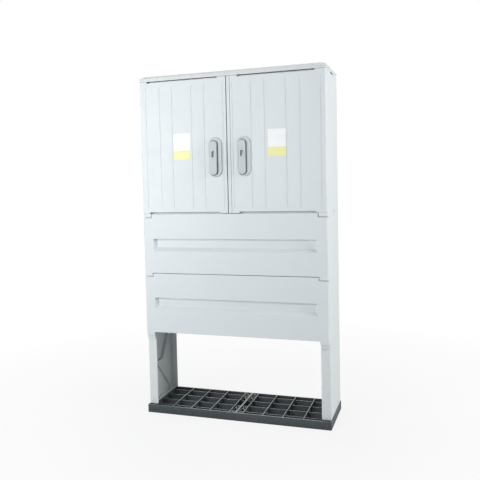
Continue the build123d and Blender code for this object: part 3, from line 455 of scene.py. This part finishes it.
class CABINET_OT_finish_plastics(bpy.types.Operator):
    """Gives the moulded plastic pieces their finish"""
    bl_idname = "cabinet.finish_plastics"
    bl_label = "Finish Plastics"
    bl_options = {"REGISTER", "UNDO"}

    def execute(self, context):
        shades = context.scene.cabinet_colours
        dress(moulded_plastic("shell_plastic", tuple(shades.shell), 0.5),
              both_sides("foundation_wall", "pocket_wall", "housing_wall")
              + ["foundation_back_panel", "pocket_back_panel", "housing_back_panel",
                 "housing_floor", "roof"])
        dress(moulded_plastic("front_plastic", tuple(shades.front), 0.42,
                              edge=0.0006, painted_shade=0.06, reach=0.005),
              both_sides("door") + ["upper_cover", "lower_cover"])
        # The handle plate's strong painted shade darkens the channel round the lever.
        dress(moulded_plastic("handle_plate_plastic", tuple(shades.handle), 0.4,
                              edge=0.0006, painted_shade=0.85, reach=0.005),
              both_sides("handle_plate"))
        dress(moulded_plastic("lever_plastic", deeper(shades.handle, 0.97), 0.36,
                              edge=0.0006, painted_shade=0.1, reach=0.003),
              both_sides("lever"))
        dress(moulded_plastic("black_plastic", tuple(shades.inner), 0.42, edge=0.0005, painted_shade=0.1),
              both_sides("gear_case", "gear_cover", "rod_guides"))
        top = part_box("left_base_grid")[1].z
        dress(recycled_plastic("base_plastic", tuple(shades.base), tuple(shades.dust), top),
              both_sides("base_grid"))
        return {"FINISHED"}


class CABINET_OT_finish_metals(bpy.types.Operator):
    """Gives the rails, plates, rods, bolts and locks their finish"""
    bl_idname = "cabinet.finish_metals"
    bl_label = "Finish Metals"
    bl_options = {"REGISTER", "UNDO"}

    def execute(self, context):
        dress(zinc_plate("zinc_plate", colour(158, 162, 166)), nodes_in_slot("zinc_steel"))
        dress(turned_steel("turned_steel", colour(186, 187, 190)), nodes_in_slot("stainless"))
        dress(nickel("nickel_plate", colour(150, 154, 157)), both_sides("lock_cylinder", "lock_plug"))
        return {"FINISHED"}


class CABINET_OT_add_films(bpy.types.Operator):
    """Puts a plain two-tone film on each door"""
    bl_idname = "cabinet.add_films"
    bl_label = "Door Films"
    bl_options = {"REGISTER", "UNDO"}

    def execute(self, context):
        sizes = context.scene.cabinet_sizes
        shades = context.scene.cabinet_colours
        thickness, corner = 0.0003, 0.003
        middles = {"left": -0.2105, "right": 0.1990}
        low = sizes.film_middle - sizes.film_height / 2
        film = two_tone_film("door_film", tuple(shades.film_upper), tuple(shades.film_lower),
                             low + sizes.film_band)
        for side, middle in middles.items():
            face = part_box(f"{side}_door")[0].y
            bm = bmesh.new()
            cuboid(bm, (middle - sizes.film_width / 2, face - thickness, low),
                   (middle + sizes.film_width / 2, face, low + sizes.film_height))
            corners = [edge for edge in bm.edges
                       if abs(edge.verts[0].co.y - edge.verts[1].co.y) > thickness / 2]
            round_edges(bm, corners, corner, 5)
            piece(f"{side}_door_film", bm, f"{side}_door", film)
        return {"FINISHED"}


class CABINET_OT_add_seals(bpy.types.Operator):
    """Lays a seal strip round the inner rim of each door"""
    bl_idname = "cabinet.add_seals"
    bl_label = "Door Seals"
    bl_options = {"REGISTER", "UNDO"}

    def execute(self, context):
        sizes = context.scene.cabinet_sizes
        rubber = seal_rubber("seal_rubber", colour(38, 39, 40))
        hinge_inset, free_inset, end_inset = 0.0145, 0.0004, 0.0065
        rounding = 0.0005
        upright = Matrix.Rotation(math.pi / 2, 3, "X")
        for side in SIDES:
            low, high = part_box(f"{side}_door")
            left = low.x + (hinge_inset if side == "left" else free_inset)
            right = high.x - (hinge_inset if side == "right" else free_inset)
            back = high.y + sizes.seal_height
            bm = bmesh.new()
            sheet = bmesh.ops.create_grid(bm, x_segments=1, y_segments=1, size=0.5)["verts"]
            bmesh.ops.scale(bm, vec=(right - left, high.z - low.z - 2 * end_inset, 1), verts=sheet)
            bmesh.ops.rotate(bm, cent=(0, 0, 0), matrix=upright, verts=sheet)
            bmesh.ops.translate(bm, vec=((left + right) / 2, high.y, (low.z + high.z) / 2), verts=sheet)
            ring = bmesh.ops.inset_region(bm, faces=list(bm.faces), thickness=sizes.seal_width,
                                          use_boundary=True, use_even_offset=True)["faces"]
            inside = [face for face in bm.faces if face not in ring]
            bmesh.ops.delete(bm, geom=inside, context="FACES")
            strip = bmesh.ops.extrude_face_region(bm, geom=list(bm.faces))["geom"]
            moved = [part for part in strip if isinstance(part, bmesh.types.BMVert)]
            bmesh.ops.translate(bm, vec=(0, sizes.seal_height, 0), verts=moved)
            bm.normal_update()
            rims = [edge for edge in bm.edges
                    if all(abs(vert.co.y - back) < sizes.seal_height / 2 for vert in edge.verts)
                    and edge.calc_face_angle() > math.radians(45)]
            round_edges(bm, rims, rounding, 3)
            piece(f"{side}_door_seal", bm, f"{side}_door", rubber)
        return {"FINISHED"}


class CABINET_OT_add_fasteners(bpy.types.Operator):
    """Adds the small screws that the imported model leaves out"""
    bl_idname = "cabinet.add_fasteners"
    bl_label = "Small Fasteners"
    bl_options = {"REGISTER", "UNDO"}

    def execute(self, context):
        steel = turned_steel("screw_steel", colour(120, 122, 125))
        for side, out in SIDES.items():
            self.gear_cover_screws(side, steel)
            self.clamp_rail_screws(side, out, steel)
            self.wall_screw(side, out, steel)
        return {"FINISHED"}

    def gear_cover_screws(self, side, steel):
        radius, height = 0.0017, 0.0012
        inset_x, inset_z = 0.002, 0.004
        low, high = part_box(f"{side}_gear_cover")
        bm = bmesh.new()
        for x in (low.x + inset_x, high.x - inset_x):
            for z in (low.z + inset_z, high.z - inset_z):
                screw_head(bm, (x, high.y, z), (0, 1, 0), radius, height)
        smooth(piece(f"{side}_gear_cover_screws", bm, f"{side}_door", steel))

    def clamp_rail_screws(self, side, out, steel):
        radius, height = 0.0042, 0.0026
        end_plate, inset_y, half_pitch = 0.003, 0.0065, 0.014
        low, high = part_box("cable_clamp_rail")
        middle = (low + high) / 2
        bm = bmesh.new()
        for y in (low.y + inset_y, high.y - inset_y):
            for z in (middle.z - half_pitch, middle.z + half_pitch):
                screw_head(bm, (out * (high.x - end_plate), y, z), (-out, 0, 0), radius, height)
        smooth(piece(f"{side}_clamp_rail_screws", bm, "body", steel))

    def wall_screw(self, side, out, steel):
        radius, height = 0.0038, 0.0012
        behind_middle, above_joint = 0.017, 0.018
        low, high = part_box(f"{side}_housing_wall")
        face = low.x if out < 0 else high.x
        bm = bmesh.new()
        screw_head(bm, (face, behind_middle, low.z + above_joint), (out, 0, 0), radius, height)
        smooth(piece(f"{side}_wall_screw", bm, "body", steel))


class CABINET_OT_set_stage(bpy.types.Operator):
    """Sets up the floor, the lights, the sky and the camera"""
    bl_idname = "cabinet.set_stage"
    bl_label = "Stage"
    bl_options = {"REGISTER", "UNDO"}

    # For each light: its setting, its width and height, its place, and the point that it looks at
    lights = (
        ("left", (1.0, 1.4), (-1.35, -1.9, 1.15), (-0.2, 0.0, 1.1)),
        ("front", (1.4, 1.4), (-0.5, -2.4, 1.6), (0.0, 0.0, 1.0)),
        ("side", (1.2, 1.8), (3.0, -0.6, 1.8), (0.3, 0.0, 0.9)),
        ("back", (2.0, 1.8), (-1.0, 2.9, 1.6), (0.0, 0.0, 0.9)),
        ("far", (1.6, 1.8), (-3.0, 0.7, 1.6), (-0.4, 0.0, 0.9)),
        ("top", (2.4, 1.6), (0.0, 0.5, 3.6), (0.0, 0.1, 1.4)),
    )

    def execute(self, context):
        scene = context.scene
        stage = scene.cabinet_stage
        self.add_floor(scene)
        for setting, size, place, target in self.lights:
            self.add_light(scene, f"{setting}_light", getattr(stage, setting), size, place, target)
        self.add_world(scene, stage.sky)
        self.add_camera(scene, stage)
        scene.view_settings.view_transform = "Standard"
        return {"FINISHED"}

    def add_floor(self, scene):
        half_size, gap = 12.0, 0.0005
        bm = bmesh.new()
        bmesh.ops.create_grid(bm, x_segments=1, y_segments=1, size=half_size)
        bmesh.ops.translate(bm, vec=(0, 0, -gap), verts=bm.verts)
        mesh = bpy.data.meshes.new("floor")
        bm.to_mesh(mesh)
        bm.free()
        mesh.materials.append(studio_floor("studio_floor", colour(188, 190, 191)))
        floor = bpy.data.objects.new("floor", mesh)
        scene.collection.objects.link(floor)

    def add_light(self, scene, name, power, size, place, target):
        data = bpy.data.lights.new(name, "AREA")
        data.shape = "RECTANGLE"
        data.size, data.size_y = size
        data.energy = power
        lamp = bpy.data.objects.new(name, data)
        lamp.location = place
        lamp.rotation_euler = (Vector(target) - Vector(place)).to_track_quat("-Z", "Y").to_euler()
        scene.collection.objects.link(lamp)

    def add_world(self, scene, strength):
        """A faint even light on the cabinet, and a white background behind it."""
        world = bpy.data.worlds.new("studio")
        world.use_nodes = True
        scene.world = world
        tree = world.node_tree
        lit = tree.nodes["Background"]
        lit.inputs["Color"].default_value = WHITE
        lit.inputs["Strength"].default_value = strength
        white = tree.nodes.new("ShaderNodeBackground")
        white.inputs["Color"].default_value = WHITE
        white.inputs["Strength"].default_value = 1.0
        both = tree.nodes.new("ShaderNodeMixShader")
        tree.links.new(seen_rays(tree), both.inputs[0])
        tree.links.new(lit.outputs[0], both.inputs[1])
        tree.links.new(white.outputs[0], both.inputs[2])
        tree.links.new(both.outputs[0], tree.nodes["World Output"].inputs["Surface"])

    def add_camera(self, scene, stage):
        """The photograph's camera, from its turns to the left, upwards and about its own line."""
        data = bpy.data.cameras.new("photo_camera")
        data.lens = stage.lens
        data.sensor_width = 36.0
        data.shift_y = stage.shift
        data.clip_end = 60.0
        yaw, pitch, roll = stage.turn
        ahead = Vector((-math.sin(yaw) * math.cos(pitch), math.cos(yaw) * math.cos(pitch), math.sin(pitch)))
        level = Vector((math.cos(yaw), math.sin(yaw), 0.0))
        above = level.cross(ahead)
        right = math.cos(roll) * level + math.sin(roll) * above
        upward = -math.sin(roll) * level + math.cos(roll) * above
        camera = bpy.data.objects.new("photo_camera", data)
        camera.matrix_world = Matrix((right, upward, -ahead)).transposed().to_4x4()
        camera.location = stage.eye
        scene.collection.objects.link(camera)
        scene.camera = camera


class CABINET_PT_sidebar(bpy.types.Panel):
    """Lists the cabinet's settings and operators"""
    bl_label = "Roadside Cabinet"
    bl_idname = "CABINET_PT_sidebar"
    bl_space_type = "VIEW_3D"
    bl_region_type = "UI"
    bl_category = "Cabinet"

    def draw(self, context):
        for settings in (context.scene.cabinet_colours, context.scene.cabinet_sizes,
                         context.scene.cabinet_stage):
            column = self.layout.column(align=True)
            for name in settings.__annotations__:
                column.prop(settings, name)
        for operator in OPERATORS:
            self.layout.operator(operator.bl_idname)


SETTINGS = {
    "cabinet_colours": CabinetColours,
    "cabinet_sizes": CabinetSizes,
    "cabinet_stage": CabinetStage,
}
OPERATORS = (
    CABINET_OT_finish_plastics,
    CABINET_OT_finish_metals,
    CABINET_OT_add_films,
    CABINET_OT_add_seals,
    CABINET_OT_add_fasteners,
    CABINET_OT_set_stage,
)


def register():
    for name, group in SETTINGS.items():
        bpy.utils.register_class(group)
        setattr(bpy.types.Scene, name, bpy.props.PointerProperty(type=group))
    for operator in OPERATORS:
        bpy.utils.register_class(operator)
    bpy.utils.register_class(CABINET_PT_sidebar)


def unregister():
    bpy.utils.unregister_class(CABINET_PT_sidebar)
    for operator in reversed(OPERATORS):
        bpy.utils.unregister_class(operator)
    for name, group in reversed(SETTINGS.items()):
        delattr(bpy.types.Scene, name)
        bpy.utils.unregister_class(group)


def main():
    register()
    bpy.ops.cabinet.finish_plastics()
    bpy.ops.cabinet.finish_metals()
    bpy.ops.cabinet.add_films()
    bpy.ops.cabinet.add_seals()
    bpy.ops.cabinet.add_fasteners()
    bpy.ops.cabinet.set_stage()


if __name__ == "__main__":
    main()
